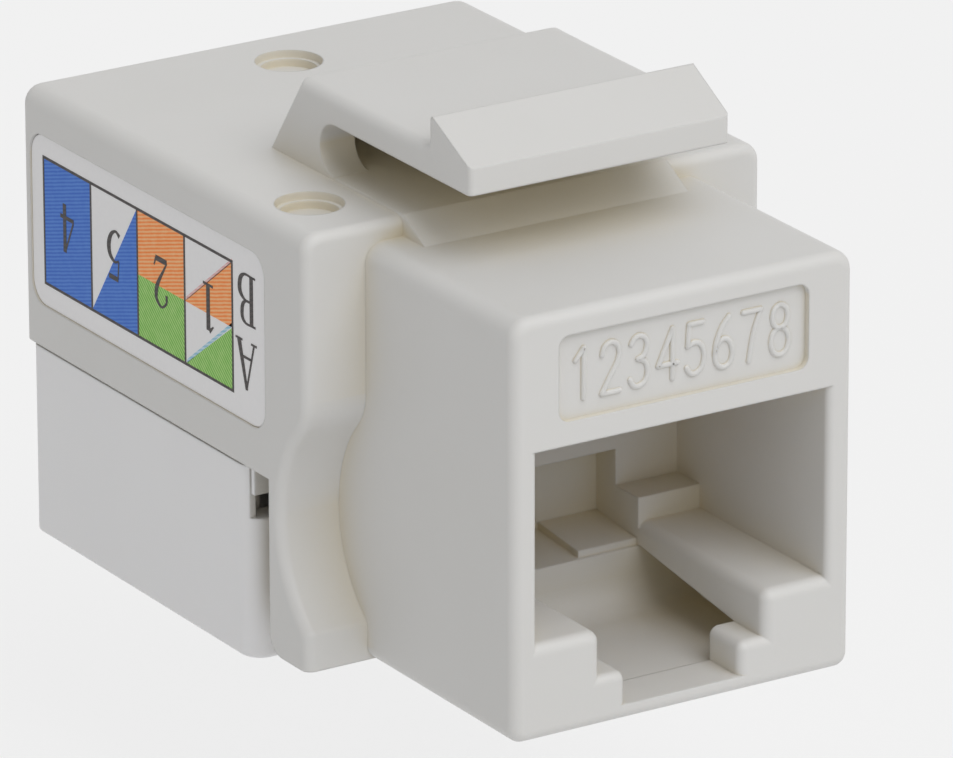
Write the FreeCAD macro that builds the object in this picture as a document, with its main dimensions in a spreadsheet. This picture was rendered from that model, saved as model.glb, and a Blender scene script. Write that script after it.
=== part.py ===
import FreeCAD, Part
import Sketcher
import os
import re

# Keystone jack, label side up-ended: plug socket in a snap-in block, a hood
# behind the shoulder and a cap over the wire slots underneath.
# X runs across, Y from the front face to the rear, Z up. Heights are drawn
# from the underside of the front block, and every sub-part is then lowered by
# half the block's height, so that the origin is the centre of the front face.

# Front block, which passes through the panel
face_wide = 14.5
face_high = 16.1
face_deep = 9.9
face_round = 0.42
block_round = 0.79
block_foot = 0.54

# Hood behind the shoulder
body_wide = 19.66
body_rise = 0.71
body_long = 30.43
shoulder_thick = 2.59
foot_round = 0.79
skirt_level = 6.74
hood_wall = 1.23
rear_wall = 1.18
roof_thick = 1.38
roof_round = 0.74
rear_round = 0.59

# Finger grooves in the two wings of the shoulder
groove_round = 5.11
groove_sink = 1.95
groove_level = 5.49
groove_blend = 1.97
ledge_round = 0.29
wing_round = 0.39

# Latch arm on top, with its tooth
latch_wide = 11.3
latch_gap = 2.11
latch_thick = 1.11
latch_edge = 0.44
latch_rear = 19.17
latch_slope = 2.16
latch_web = 1.47
latch_shell = 0.88
slot_rear = 15.68
pivot_back = 0.44
pivot_gap = 0.05
tooth_front = 5.34
tooth_rear = 7.97
tooth_high = 1.18
tooth_nose = 0.08
ramp_run = 1.49
bed_rise = 0.1

# Fixed lug under the block
lug_front = 5.51
lug_rear = 7.86
lug_flat = 0.69
lug_high = 0.7
lug_wide = 8.26

# Ejector marks on the roof
mark_wide = 2.58
mark_ledge = 0.2
mark_sink = 0.29
mark_side = 7.7
mark_front_at = 12.98
mark_back = 3.23

# Sunk panel above the socket
panel_wide = 10.6
panel_low = 11.94
panel_high = 3.25
panel_sink = 0.25
panel_round = 0.44

# Plug socket
socket_wide = 12.39
socket_top = 11.04
socket_round = 0.29
frame_thick = 1.97
rail_top = 3.67
rail_gap = 6.98
rail_round = 0.44
rail_low = 1.9
rail_under = 2.78
rail_reach = 5.7
stop_front = 8.36
stop_high = 0.93
tab_gap = 4.87
sill_level = 0.62
floor_level = 0.52
step_round = 0.34
floor_round = 1.18
tongue_front = 8.31
tongue_low = 2.73
tongue_rise = 0.25
tongue_deep = 1.31
pad_high = 0.27
pad_gap = 1.87
window_top = 6.03

# Space for the contacts
front_wall = 1.18
chamber_wide = 11.99
chamber_high = 2.61
fit_gap = 0.1

# Labels in their side recesses
label_front = 12.68
label_low = 8.43
label_high = 6.78
label_rear = 0.74
seat_round = 0.88
label_sink = 0.29
label_round = 1.08
label_thick = 0.2
label_gap = 0.05

# Contact carrier and spring contacts
contact_apart = 1.016
comb_slot = 0.65
comb_front = 2.26
comb_top = 12.47
carrier_rear = 10.62
wire_wide = 0.44
wire_thick = 0.34
curl_round = 0.44
curl_gap = 0.05
curl_front = 3.24
beam_long = 6.19
beam_dip = 28
tail_near = 11.31
tail_step = 1.08

# Circuit board
board_front = 10.76
board_neck = 11.6
board_neck_long = 2.02
board_gap = 0.2
board_level = 13.69
board_thick = 1.18
board_round = 0.39
tail_out = 0.25
blade_hole = 0.93
wire_hole = 0.74

# Wire block with pointed teeth and slotted blades
wire_first = 16.68
wire_inset = 3.51
wire_slot = 1.28
wire_deep = 4.92
point_level = 5.93
point_rise = 1.67
block_wide = 14.94
cheek_gap = 0.15
cheek_deep = 0.88
cheek_low = 5.58
rim_shy = 0.2
rim_gap = 0.08
cable_gap = 6.68
cable_deep = 5.31
blade_side = 5.41
blade_thick = 0.49
blade_wide = 2.16
blade_low = 1.13
blade_cut = 0.34
blade_cut_deep = 4.33
blade_mouth = 1.08
blade_tail = 0.59
blade_gap = 0.05

# Cap over the wire block
cap_shy = 0.05
cap_front = 13.86
cap_short = 0.59
cap_drop = 0.93
cap_seam = 0.1
cap_wall = 1.08
cap_floor = 1.18
cap_front_high = 4.6
cap_corner = 0.88
cap_rear_corner = 0.34
cap_lip = 0.44
cap_notch = 0.36
cap_edge = 0.2
cable_hole = 6.88
cable_level = 1.26
clip_long = 5.9
clip_thick = 0.74
clip_rise = 2.06
rib_thick = 0.79
rib_long = 2.56
rib_top = 6.67

# Every size above goes into the sheet under its own name
doc = FreeCAD.newDocument("KeystoneJack")
sheet = doc.addObject("Spreadsheet::Sheet", "Sizes")
names = [word for word, value in list(globals().items()) if isinstance(value, (int, float))]
for row, word in enumerate(names):
    cell = "A%d" % (row + 1)
    sheet.set(cell, str(globals()[word]))
    sheet.setAlias(cell, word)
doc.recompute()


# Sizes that follow from others, so that the pieces keep together
follows = {
    "cap_wide": "(body_wide - 2 * cap_shy)",
    "cap_rear": "(body_long - cap_short)",
    "board_wide": "(body_wide - 2 * hood_wall - 2 * board_gap)",
    "board_rear": "(body_long - rear_wall - fit_gap)",
    "label_long": "(body_long - label_rear - label_front)",
    "mark_rear_at": "(body_long - mark_back)",
    "wire_apart": "((body_long - wire_inset - wire_first) / 3)",
    "cheek_wide": "(body_wide - 2 * cap_shy - 2 * cap_lip - 2 * cheek_gap)",
}


def ex(text):
    def link(found):
        word = found.group(0)
        if word in follows:
            return ex(follows[word])
        return "Sizes." + word if word in names else word
    return re.sub(r"[a-z]\w*", link, text)


def place(thing):
    thing.setExpression("Placement.Base.z", ex("-face_high / 2"))


def new_body(label):
    body = doc.addObject("PartDesign::Body", label)
    body.Label = label
    place(body)
    return body


def plane_of(body, role):
    for feature in body.Origin.OriginFeatures:
        if feature.Role == role:
            return feature
    return None


def new_sketch(body, name, plane, start):
    sketch = body.newObject("Sketcher::SketchObject", name)
    sketch.AttachmentSupport = (plane_of(body, plane + "_Plane"), [""])
    sketch.MapMode = "FlatFace"
    sign = "-(%s)" if plane == "XZ" else "%s"
    sketch.setExpression("AttachmentOffset.Base.z", ex(sign % start))
    return sketch


def draw_polygon(sketch, points):
    count = len(points)
    spread = [FreeCAD.Vector(i + 1.0, (i * i) % 7 + 0.5 * i, 0) for i in range(count)]
    for i in range(count):
        sketch.addGeometry(Part.LineSegment(spread[i], spread[(i + 1) % count]), False)
    for i in range(count):
        sketch.addConstraint(Sketcher.Constraint("Coincident", i, 2, (i + 1) % count, 1))
    for i, (across, up) in enumerate(points):
        for kind, text in (("DistanceX", across), ("DistanceY", up)):
            at = sketch.addConstraint(Sketcher.Constraint(kind, -1, 1, i, 1, 1.0))
            sketch.setExpression("Constraints[%d]" % at, ex(text))


def draw_circle(sketch, across, up, radius):
    centre = FreeCAD.Vector(1, 1, 0)
    sketch.addGeometry(Part.Circle(centre, FreeCAD.Vector(0, 0, 1), 1.0), False)
    for kind, text in (("DistanceX", across), ("DistanceY", up)):
        at = sketch.addConstraint(Sketcher.Constraint(kind, -1, 1, 0, 3, 1.0))
        sketch.setExpression("Constraints[%d]" % at, ex(text))
    at = sketch.addConstraint(Sketcher.Constraint("Radius", 0, 1.0))
    sketch.setExpression("Constraints[%d]" % at, ex(radius))


def extrude(body, name, sketch, plane, length, remove):
    kind = "PartDesign::Pocket" if remove else "PartDesign::Pad"
    feature = body.newObject(kind, name)
    feature.Profile = sketch
    feature.setExpression("Length", ex(length))
    feature.Reversed = (plane == "XZ") != remove
    feature.Refine = True
    return feature


# A straight body or cut: a closed outline on a plane, from one level along
# the plane's normal for a given length
def prism(body, name, plane, start, length, points, remove=False):
    sketch = new_sketch(body, name + "_outline", plane, start)
    draw_polygon(sketch, points)
    return extrude(body, name, sketch, plane, length, remove)


def disc(body, name, plane, start, length, across, up, radius, remove=False):
    sketch = new_sketch(body, name + "_outline", plane, start)
    draw_circle(sketch, across, up, radius)
    return extrude(body, name, sketch, plane, length, remove)


def box_outline(low_across, high_across, low_up, high_up):
    return [(low_across, low_up), (high_across, low_up), (high_across, high_up), (low_across, high_up)]


def wide_outline(width, low_up, high_up):
    return box_outline("-(%s) / 2" % width, "(%s) / 2" % width, low_up, high_up)


def near(a, b):
    return abs(a - b) < 0.002


# Shape of a body after all that was drawn so far
def solved(body):
    doc.recompute()
    return body.Tip.Shape


# Straight edges of the finished feature that run along one axis through the
# given two coordinates; across the middle plane both sides are taken
def edges_along(body, axis, first, second, low=None, high=None):
    found = []
    for index, edge in enumerate(solved(body).Edges):
        box = edge.BoundBox
        spans = {"X": box.XLength, "Y": box.YLength, "Z": box.ZLength}
        mids = {"X": abs(box.Center.x), "Y": box.Center.y, "Z": box.Center.z}
        others = [key for key in "XYZ" if key != axis]
        if any(spans[key] > 0.002 for key in others):
            continue
        if not near(mids[others[0]], first) or not near(mids[others[1]], second):
            continue
        if low is not None and mids[axis] < low:
            continue
        if high is not None and mids[axis] > high:
            continue
        found.append("Edge%d" % (index + 1))
    return found


def dress(body, kind, name, edges, amount):
    base = body.Tip
    feature = body.newObject("PartDesign::" + kind, name)
    feature.Base = (base, edges)
    feature.setExpression("Radius" if kind == "Fillet" else "Size", ex(amount))
    feature.Refine = True
    return feature


def repeat(body, name, originals, axis, step, count):
    pattern = body.newObject("PartDesign::LinearPattern", name)
    pattern.Originals = originals
    pattern.Direction = (plane_of(body, axis + "_Axis"), [""])
    pattern.Mode = "Spacing"
    pattern.setExpression("Offset", ex(step))
    pattern.Occurrences = count
    body.Tip = pattern
    return pattern


def mirror(body, name, originals):
    copy = body.newObject("PartDesign::Mirrored", name)
    copy.Originals = originals
    copy.MirrorPlane = (plane_of(body, "YZ_Plane"), [""])
    body.Tip = copy
    return copy


# Levels that several pieces share
roof = "(face_high + body_rise)"
shoulder_rear = "(face_deep + shoulder_thick)"
arm_low = "(face_high + body_rise + latch_gap)"
arm_top = "(face_high + body_rise + latch_gap + latch_thick)"
pivot_y = "(slot_rear - pivot_back)"
pivot_z = "(face_high + body_rise + latch_gap + latch_thick / 2)"
roof_z = face_high + body_rise
arm_top_z = roof_z + latch_gap + latch_thick
half_body = body_wide / 2
half_face = face_wide / 2
half_latch = latch_wide / 2
half_cap = body_wide / 2 - cap_shy
deep = face_deep
rear = body_long

# Housing: outer form
housing = new_body("housing")
prism(housing, "block", "XZ", "0", shoulder_rear, wide_outline("face_wide", "0", "face_high"))
prism(housing, "shoulder", "XZ", "face_deep", "shoulder_thick", wide_outline("body_wide", "0", roof))
prism(housing, "hood", "XZ", shoulder_rear, "body_long - " + shoulder_rear,
      wide_outline("body_wide", "skirt_level", roof))
dress(housing, "Fillet", "foot_edges",
      edges_along(housing, "X", deep + shoulder_thick, 0), "foot_round")
dress(housing, "Fillet", "roof_edges", edges_along(housing, "Y", half_body, roof_z), "roof_round")
dress(housing, "Fillet", "block_edges", edges_along(housing, "Y", half_face, face_high), "block_round")
dress(housing, "Fillet", "block_feet", edges_along(housing, "Y", half_face, 0, high=deep), "block_foot")
front_edges = []
for index, edge in enumerate(solved(housing).Edges):
    if edge.BoundBox.YMax < 0.001:
        front_edges.append("Edge%d" % (index + 1))
dress(housing, "Fillet", "front_edges", front_edges, "face_round")
rear_edges = []
for index, edge in enumerate(solved(housing).Edges):
    if edge.BoundBox.YMin > rear - 0.001 and edge.BoundBox.ZMax > skirt_level + 0.01:
        rear_edges.append("Edge%d" % (index + 1))
dress(housing, "Fillet", "rear_edges", rear_edges, "rear_round")

# Housing: finger grooves in the wings
groove_y = "face_deep + groove_sink - groove_round"
wing = "(body_wide - face_wide) / 2"
for side, start in (("left", "-body_wide / 2 - 1"), ("right", "face_wide / 2")):
    disc(housing, "groove_" + side, "YZ", start, wing + " + 1", groove_y, "groove_level",
         "groove_round", True)
groove_reach = groove_round - groove_sink
groove_edge = groove_level + (groove_round ** 2 - groove_reach ** 2) ** 0.5
dress(housing, "Fillet", "groove_blends", edges_along(housing, "X", deep, groove_edge), "groove_blend")
ledge_edge = 2 * groove_level - groove_edge
dress(housing, "Fillet", "groove_ledges", edges_along(housing, "X", deep, ledge_edge), "ledge_round")
dress(housing, "Fillet", "wing_edges", edges_along(housing, "Z", half_body, deep, high=ledge_edge)
      + edges_along(housing, "Z", half_body, deep, low=groove_edge), "wing_round")

# Housing: ramp and bed under the latch, its bridge, and the lug
prism(housing, "ramp", "YZ", "-latch_wide / 2", "latch_wide",
      [("face_deep - ramp_run", "face_high - 0.2"), ("face_deep - ramp_run", "face_high"),
       ("face_deep", roof + " + bed_rise"), ("slot_rear", roof + " + bed_rise"),
       ("slot_rear", roof + " - 0.2"), ("face_deep + 0.5", roof + " - 0.2"),
       ("face_deep + 0.5", "face_high - 0.2")])
prism(housing, "bridge", "YZ", "-latch_wide / 2", "latch_wide",
      [("slot_rear - latch_gap / 2", roof + " - 0.2"), ("slot_rear - latch_gap / 2", roof),
       (pivot_y, roof + " + latch_gap / 2"), (pivot_y, arm_top),
       ("latch_rear - latch_slope", arm_top), ("latch_rear", roof),
       ("latch_rear", roof + " - 0.2")])
dress(housing, "Fillet", "bridge_edges",
      [name for name in edges_along(housing, "Y", half_latch, arm_top_z)]
      + ["Edge%d" % (i + 1) for i, edge in enumerate(solved(housing).Edges)
         if near(abs(edge.BoundBox.Center.x), half_latch)
         and near(edge.BoundBox.YMax, latch_rear)
         and near(edge.BoundBox.ZMax, arm_top_z)], "latch_edge")
disc(housing, "bridge_slot", "YZ", "-latch_wide / 2 - 1", "latch_wide + 2", "slot_rear - latch_gap / 2",
     roof + " + (latch_gap + bed_rise) / 2", "(latch_gap - bed_rise) / 2", True)
disc(housing, "pivot_seat", "YZ", "-latch_wide / 2 - 1", "latch_wide + 2", pivot_y, pivot_z,
     "latch_thick / 2 + pivot_gap", True)
prism(housing, "bridge_core", "YZ", "-latch_wide / 2 + latch_web", "latch_wide - 2 * latch_web",
      [("slot_rear - latch_gap / 2", roof + " + bed_rise"),
       ("latch_rear - latch_shell * 1.3", roof + " + bed_rise"),
       ("latch_rear - latch_slope - latch_shell * 0.6", arm_low),
       ("slot_rear - latch_gap / 2", arm_low)], True)
prism(housing, "lug", "YZ", "-lug_wide / 2", "lug_wide",
      [("lug_front", "0.2"), ("lug_front", "0"), ("lug_rear - lug_flat", "-lug_high"),
       ("lug_rear", "-lug_high"), ("lug_rear", "0.2")])

# Housing: sunk panel above the socket
prism(housing, "panel", "XZ", "0", "panel_sink",
      wide_outline("panel_wide", "panel_low", "panel_low + panel_high"), True)
panel_corners = []
for level in (panel_low, panel_low + panel_high):
    panel_corners += edges_along(housing, "Y", panel_wide / 2, level, high=1)
dress(housing, "Fillet", "panel_corners", panel_corners, "panel_round")

# Housing: plug socket with its rails, stops and tab channel
prism(housing, "socket", "XZ", "0", "face_deep", wide_outline("socket_wide", "rail_top", "socket_top"), True)
prism(housing, "channel_front", "XZ", "0", "frame_thick",
      wide_outline("rail_gap", "rail_low", "rail_top + 0.1"), True)
prism(housing, "tab_slot", "XZ", "0", "frame_thick",
      wide_outline("tab_gap", "sill_level", "rail_low + 0.1"), True)
half_rail = rail_gap / 2
prism(housing, "channel", "YZ", "-rail_gap / 2", "rail_gap",
      [("frame_thick", "floor_level"), ("tongue_front", "floor_level"), ("tongue_front", "tongue_low"),
       ("face_deep + tongue_deep", "tongue_low + tongue_rise"),
       ("face_deep + tongue_deep", "window_top"), ("face_deep - 0.1", "window_top"),
       ("face_deep - 0.1", "rail_top + 0.1"), ("frame_thick", "rail_top + 0.1")], True)
rail_top_edges = edges_along(housing, "Y", half_rail, rail_top)
rail_top_edges += edges_along(housing, "Z", half_rail, 0, low=rail_low, high=rail_top)
for index, edge in enumerate(solved(housing).Edges):
    box = edge.BoundBox
    level = near(box.ZMin, rail_top) and near(box.ZMax, rail_top)
    if level and box.YMax < 0.001 and box.XLength > 0.5:
        rail_top_edges.append("Edge%d" % (index + 1))
dress(housing, "Fillet", "rail_edges", rail_top_edges, "rail_round")
half_tab = tab_gap / 2
step_edges = edges_along(housing, "Y", half_tab, rail_low, high=frame_thick)
step_edges += edges_along(housing, "Z", half_tab, 0, high=rail_low)
for index, edge in enumerate(solved(housing).Edges):
    box = edge.BoundBox
    level = near(box.ZMin, rail_low) and near(box.ZMax, rail_low)
    if level and box.YMax < 0.001 and box.XLength < 3:
        step_edges.append("Edge%d" % (index + 1))
dress(housing, "Fillet", "step_edges", step_edges, "step_round")
dress(housing, "Fillet", "mouth_edges",
      edges_along(housing, "Z", socket_wide / 2, 0, low=rail_top), "socket_round")
prism(housing, "undercut", "YZ", "-rail_reach", "rail_reach * 2",
      [("frame_thick", "floor_level"), ("tongue_front", "floor_level"), ("tongue_front", "rail_under"),
       ("frame_thick", "rail_low")], True)
dress(housing, "Fillet", "floor_bend", edges_along(housing, "X", tongue_front, floor_level), "floor_round")
for side, low, high in (("left", "-socket_wide / 2 - 0.1", "-rail_gap / 2"),
                        ("right", "rail_gap / 2", "socket_wide / 2 + 0.1")):
    prism(housing, "stop_" + side, "XZ", "stop_front", "face_deep - stop_front + 0.1",
          box_outline(low, high, "rail_top - 0.6", "rail_top + stop_high"))
for side, low in (("left", "-rail_gap / 2"), ("right", "pad_gap / 2")):
    prism(housing, "pad_" + side, "YZ", low, "(rail_gap - pad_gap) / 2",
          [("tongue_front + 0.15", "tongue_low - 0.1"), ("tongue_front + 0.15", "tongue_low + pad_high"),
           ("face_deep + tongue_deep", "tongue_low + tongue_rise + pad_high"),
           ("face_deep + tongue_deep", "tongue_low - 0.1")])

# Housing: chamber for the contacts, then the hollow hood
prism(housing, "chamber", "XZ", "front_wall", "carrier_rear + fit_gap - front_wall",
      wide_outline("chamber_wide", "socket_top - 0.1", "socket_top + chamber_high"), True)
prism(housing, "hollow", "XY", "skirt_level - 1", roof + " - roof_thick - skirt_level + 1",
      wide_outline("body_wide - 2 * hood_wall", shoulder_rear, "body_long - rear_wall"), True)
prism(housing, "throat", "XZ", "carrier_rear", shoulder_rear + " - carrier_rear + 0.1",
      wide_outline("chamber_wide", "socket_top", roof + " - roof_thick"), True)

# Housing: label recesses and ejector marks
for side, start in (("left", "-body_wide / 2"), ("right", "body_wide / 2 - label_sink")):
    prism(housing, "label_seat_" + side, "YZ", start, "label_sink",
          box_outline("label_front", "label_front + label_long", "label_low", "label_low + label_high"),
          True)
seat_corners = []
for along in (label_front, body_long - label_rear):
    for level in (label_low, label_low + label_high):
        seat_corners += edges_along(housing, "X", along, level)
dress(housing, "Fillet", "label_seat_corners", seat_corners, "seat_round")
for spot, across, along in (("left", "-mark_side", "mark_front_at"), ("right", "mark_side", "mark_front_at"),
                            ("rear", "0", "mark_rear_at")):
    disc(housing, "mark_" + spot, "XY", roof + " - mark_sink", "mark_sink + 0.1", across, along,
         "mark_wide / 2", True)
    disc(housing, "mark_inner_" + spot, "XY", roof + " - 2 * mark_sink", "2 * mark_sink", across,
         along, "mark_wide / 2 - mark_ledge", True)

# Latch arm with its tooth, turning about its rounded root
latch = new_body("latch_arm")
prism(latch, "arm", "YZ", "-latch_wide / 2", "latch_wide",
      [("tooth_front", arm_low), (pivot_y, arm_low), (pivot_y, arm_top), ("tooth_rear", arm_top),
       ("tooth_rear", arm_top + " + tooth_high"), ("tooth_front", arm_top + " - tooth_nose")])
arm_edges = edges_along(latch, "Y", half_latch, arm_top_z)
dress(latch, "Fillet", "arm_edges", arm_edges, "latch_edge")
disc(latch, "root", "YZ", "-latch_wide / 2", "latch_wide", pivot_y, pivot_z, "latch_thick / 2")

# Labels, one in each recess
for side, start in (("left", "-body_wide / 2 + label_sink - label_thick"),
                    ("right", "body_wide / 2 - label_sink")):
    label = new_body("wiring_label_" + side)
    prism(label, "sheet_" + side, "YZ", start, "label_thick",
          box_outline("label_front + label_gap", "label_front + label_long - label_gap",
                      "label_low + label_gap", "label_low + label_high - label_gap"))
    upright = []
    for index, edge in enumerate(solved(label).Edges):
        if near(edge.BoundBox.YLength, 0) and near(edge.BoundBox.ZLength, 0):
            upright.append("Edge%d" % (index + 1))
    dress(label, "Fillet", "sheet_corners_" + side, upright, "label_round")

# Contact carrier: a comb with a slot for each contact
carrier = new_body("contact_carrier")
prism(carrier, "carrier_block", "XZ", "front_wall + fit_gap", "carrier_rear - front_wall - fit_gap",
      wide_outline("chamber_wide - 2 * fit_gap", "socket_top", "socket_top + chamber_high - fit_gap"))
slot = prism(carrier, "comb_slot_one", "XZ", "comb_front", "carrier_rear - comb_front + 0.1",
             box_outline("-3.5 * contact_apart - comb_slot / 2", "-3.5 * contact_apart + comb_slot / 2",
                         "socket_top - 0.1", "comb_top"), True)
repeat(carrier, "comb_slots", [slot], "X", "contact_apart", 8)


def new_box(name, low, high):
    box = doc.addObject("Part::Box", name)
    for axis, word, start, end in zip("xyz", ("Length", "Width", "Height"), low, high):
        box.setExpression(word, ex("(%s) - (%s)" % (end, start)))
        box.setExpression("Placement.Base." + axis, ex(start))
    return box


def new_rod(name, low_x, y, z, radius, length, angle=360):
    rod = doc.addObject("Part::Cylinder", name)
    rod.Placement.Rotation = FreeCAD.Rotation(FreeCAD.Vector(0, 1, 0), 90)
    rod.setExpression("Radius", ex(radius))
    rod.setExpression("Height", ex(length))
    rod.Angle = angle
    rod.setExpression("Placement.Base.x", ex(low_x))
    rod.setExpression("Placement.Base.y", ex(y))
    rod.setExpression("Placement.Base.z", ex(z))
    return rod


def join(label, pieces):
    whole = doc.addObject("Part::MultiFuse", label)
    whole.Shapes = pieces
    whole.Refine = True
    whole.Label = label
    place(whole)
    return whole


def less(label, base, tool):
    rest = doc.addObject("Part::Cut", label)
    rest.Base = base
    rest.Tool = tool
    return rest


# Spring contacts: a leg that is held in the comb and soldered to the board,
# and a beam that hangs from the bend into the socket
curl_z = "(comb_top - 0.05 - wire_thick - curl_gap - curl_round)"
for number in range(1, 9):
    middle = "(%.1f * contact_apart)" % (number - 4.5)
    low_x = "%s - wire_wide / 2" % middle
    high_x = "%s + wire_wide / 2" % middle
    tail = "tail_near" if number % 2 else "tail_near + tail_step"
    run = new_box("run_%d" % number, (low_x, "curl_front", "comb_top - 0.05 - wire_thick"),
                  (high_x, tail + " + wire_thick", "comb_top - 0.05"))
    post = new_box("post_%d" % number, (low_x, tail, "comb_top - 0.05 - wire_thick"),
                   (high_x, tail + " + wire_thick", "board_level + board_thick + tail_out"))
    outer = new_rod("bend_outer_%d" % number, low_x, "curl_front", curl_z,
                    "curl_round + curl_gap + wire_thick", "wire_wide")
    inner = new_rod("bend_inner_%d" % number, low_x, "curl_front", curl_z, "curl_round + curl_gap",
                    "wire_wide")
    ring = less("bend_ring_%d" % number, outer, inner)
    quarter = new_box("bend_quarter_%d" % number, (low_x, "curl_front - 2", curl_z),
                      (high_x, "curl_front", curl_z + " + 2"))
    bend = doc.addObject("Part::Common", "bend_%d" % number)
    bend.Base = ring
    bend.Tool = quarter
    join("contact_leg_%d" % number, [run, post, bend])
    root = new_rod("curl_%d" % number, low_x, "0", "0", "curl_round", "wire_wide")
    blade = new_box("spring_%d" % number, (low_x, "0", "-curl_round"),
                    (high_x, "beam_long", "-curl_round + wire_thick"))
    tip = new_rod("tip_%d" % number, low_x, "beam_long", "-curl_round + wire_thick / 2",
                  "wire_thick / 2", "wire_wide")
    beam = join("contact_beam_%d" % number, [root, blade, tip])
    beam.Placement.Rotation = FreeCAD.Rotation(FreeCAD.Vector(1, 0, 0), -beam_dip)
    beam.setExpression("Placement.Base.y", ex("curl_front"))
    beam.setExpression("Placement.Base.z", ex(curl_z + " - face_high / 2"))

# Circuit board with holes for the contact tails and the blades
board = new_body("circuit_board")
neck_rear = "board_front + board_neck_long"
prism(board, "board_sheet", "XY", "board_level", "board_thick",
      [("-board_neck / 2", "board_front"), ("board_neck / 2", "board_front"),
       ("board_neck / 2", neck_rear), ("board_wide / 2", neck_rear), ("board_wide / 2", "board_rear"),
       ("-board_wide / 2", "board_rear"), ("-board_wide / 2", neck_rear),
       ("-board_neck / 2", neck_rear)])
for row, tail, first in (("near", "tail_near", "-3.5"), ("far", "tail_near + tail_step", "-2.5")):
    hole = disc(board, "wire_hole_" + row, "XY", "board_level", "board_thick", first + " * contact_apart",
                tail + " + wire_thick / 2", "wire_hole / 2", True)
    repeat(board, "wire_holes_" + row, [hole], "X", "2 * contact_apart", 4)
for side, across in (("left", "-blade_side"), ("right", "blade_side")):
    hole = disc(board, "blade_hole_" + side, "XY", "board_level", "board_thick", across, "wire_first",
                "blade_hole / 2", True)
    repeat(board, "blade_holes_" + side, [hole], "Y", "wire_apart", 4)

# Wire block: two rows of slots between pointed teeth
block = new_body("idc_block")
prism(block, "block_body", "XY", "point_level", "board_level - point_level",
      wide_outline("block_wide", "wire_first - wire_apart + wire_slot / 2",
                   "cap_rear - cap_wall - fit_gap"))
centre = "(wire_first - wire_apart)"
slot = prism(block, "wire_slot_one", "YZ", "-block_wide / 2 - 1", "block_wide + 2",
             [(centre + " - wire_slot / 2", "point_level + wire_deep"),
              (centre + " - wire_slot / 2", "point_level + point_rise"),
              (centre + " - wire_apart / 2", "point_level"),
              (centre + " - wire_apart / 2", "point_level - 1"),
              (centre + " + wire_apart / 2", "point_level - 1"),
              (centre + " + wire_apart / 2", "point_level"),
              (centre + " + wire_slot / 2", "point_level + point_rise"),
              (centre + " + wire_slot / 2", "point_level + wire_deep")], True)
repeat(block, "wire_slots", [slot], "Y", "wire_apart", 5)
for name, width, top in (("cheek", "cheek_wide", "skirt_level - cap_seam"),
                         ("brow", "block_wide", "point_level + point_rise + 0.2")):
    prism(block, name, "XZ", "wire_first - wire_apart + wire_slot / 2", "cheek_deep",
          wide_outline(width, "cheek_low", top))
prism(block, "cheek_rim", "XZ", "wire_first - wire_apart + wire_slot / 2",
      "cap_front + cap_notch - rim_gap - wire_first + wire_apart - wire_slot / 2",
      wide_outline("body_wide - 2 * cap_shy - 2 * rim_shy", "cheek_low", "skirt_level - cap_seam"))
prism(block, "cable_way", "XZ", "wire_first - 2 * wire_apart", "8 * wire_apart",
      wide_outline("cable_gap", "point_level - 1", "point_level + cable_deep"), True)
for side, sign in (("left", "-"), ("right", "")):
    low = sign + "blade_side - blade_thick / 2 - blade_gap"
    high = sign + "blade_side + blade_thick / 2 + blade_gap"
    seat = prism(block, "blade_seat_" + side, "XY", "point_level + blade_low - 0.1",
                 "board_level - point_level - blade_low + 0.2",
                 box_outline(low, high, "wire_first - blade_wide / 2 - blade_gap",
                             "wire_first + blade_wide / 2 + blade_gap"), True)
    repeat(block, "blade_seats_" + side, [seat], "Y", "wire_apart", 4)

# Slotted blades that take the wires
for number in range(1, 9):
    side = "-" if number <= 4 else ""
    step = (number - 1) % 4
    middle = "(wire_first + %d * wire_apart)" % step
    blade = new_body("idc_blade_%d" % number)
    low = "point_level + blade_low"
    prism(blade, "fork_%d" % number, "YZ", side + "blade_side - blade_thick / 2", "blade_thick",
          [(middle + " - blade_wide / 2", low), (middle + " - blade_mouth / 2", low),
           (middle + " - blade_cut / 2", low + " + blade_mouth"),
           (middle + " - blade_cut / 2", low + " + blade_cut_deep"),
           (middle + " + blade_cut / 2", low + " + blade_cut_deep"),
           (middle + " + blade_cut / 2", low + " + blade_mouth"),
           (middle + " + blade_mouth / 2", low), (middle + " + blade_wide / 2", low),
           (middle + " + blade_wide / 2", "board_level - blade_gap"),
           (middle + " + blade_tail / 2", "board_level - blade_gap"),
           (middle + " + blade_tail / 2", "board_level + board_thick + tail_out"),
           (middle + " - blade_tail / 2", "board_level + board_thick + tail_out"),
           (middle + " - blade_tail / 2", "board_level - blade_gap"),
           (middle + " - blade_wide / 2", "board_level - blade_gap")])

# Cap: a hollow tray with a cable notch, clips and ribs
cap = new_body("dust_cap")
cap_top = "(skirt_level - cap_seam)"
prism(cap, "cap_body", "XY", "-cap_drop", cap_top + " + cap_drop",
      wide_outline("cap_wide", "cap_front", "cap_rear"))
dress(cap, "Fillet", "cap_corners", edges_along(cap, "Z", half_cap, cap_front), "cap_corner")
dress(cap, "Fillet", "cap_rear_corners", edges_along(cap, "Z", half_cap, body_long - cap_short),
      "cap_rear_corner")
bottom = []
for index, edge in enumerate(solved(cap).Edges):
    if edge.BoundBox.ZMax < -cap_drop + 0.001:
        bottom.append("Edge%d" % (index + 1))
dress(cap, "Fillet", "cap_bottom", bottom, "cap_edge")
prism(cap, "cap_hollow", "XY", "cap_floor - cap_drop", cap_top + " + cap_drop",
      wide_outline("cap_wide - 2 * cap_wall", "cap_front + cap_wall", "cap_rear - cap_wall"), True)
prism(cap, "front_low", "XZ", "cap_front - 0.1", "cap_wall + 0.2",
      wide_outline("cap_wide - 2 * cap_lip", "cap_front_high", "skirt_level"), True)
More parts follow.
